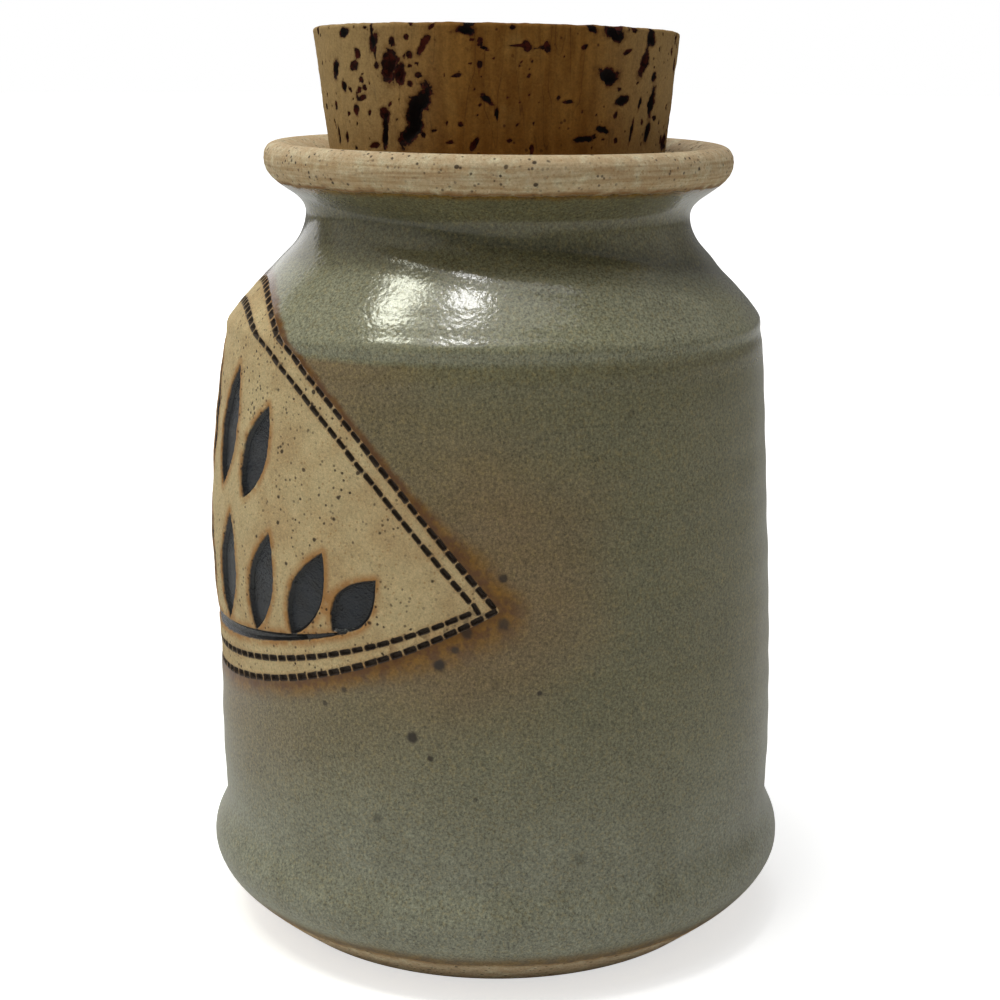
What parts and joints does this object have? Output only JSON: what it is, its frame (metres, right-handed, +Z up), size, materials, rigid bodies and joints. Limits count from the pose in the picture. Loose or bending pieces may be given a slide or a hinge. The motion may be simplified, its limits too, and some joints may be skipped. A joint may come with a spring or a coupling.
{
  "type": "stoneware storage jar",
  "caption": "Round glazed stoneware storage jar with a flared lip, a bare clay label panel with stitched edges and a sunk leaf ornament, shut by a tapered cork stopper.",
  "frame": {"origin": "centre of the foot's flat underside", "axes": "+Z up along the jar's axis towards the cork, -Y out through the middle of the label"},
  "size_m": [0.1208, 0.1208, 0.182],
  "materials": {
    "glazed_stoneware": "semi-gloss grey-green glaze with a fine mottle and iron spots, over buff stoneware left bare at the lip, foot and label",
    "natural_cork": "matte natural cork with dark pores and open fissures"
  },
  "bodies": {
    "root": {"jar": "glazed_stoneware", "cork_stopper": "natural_cork"}
  },
  "joints": []
}
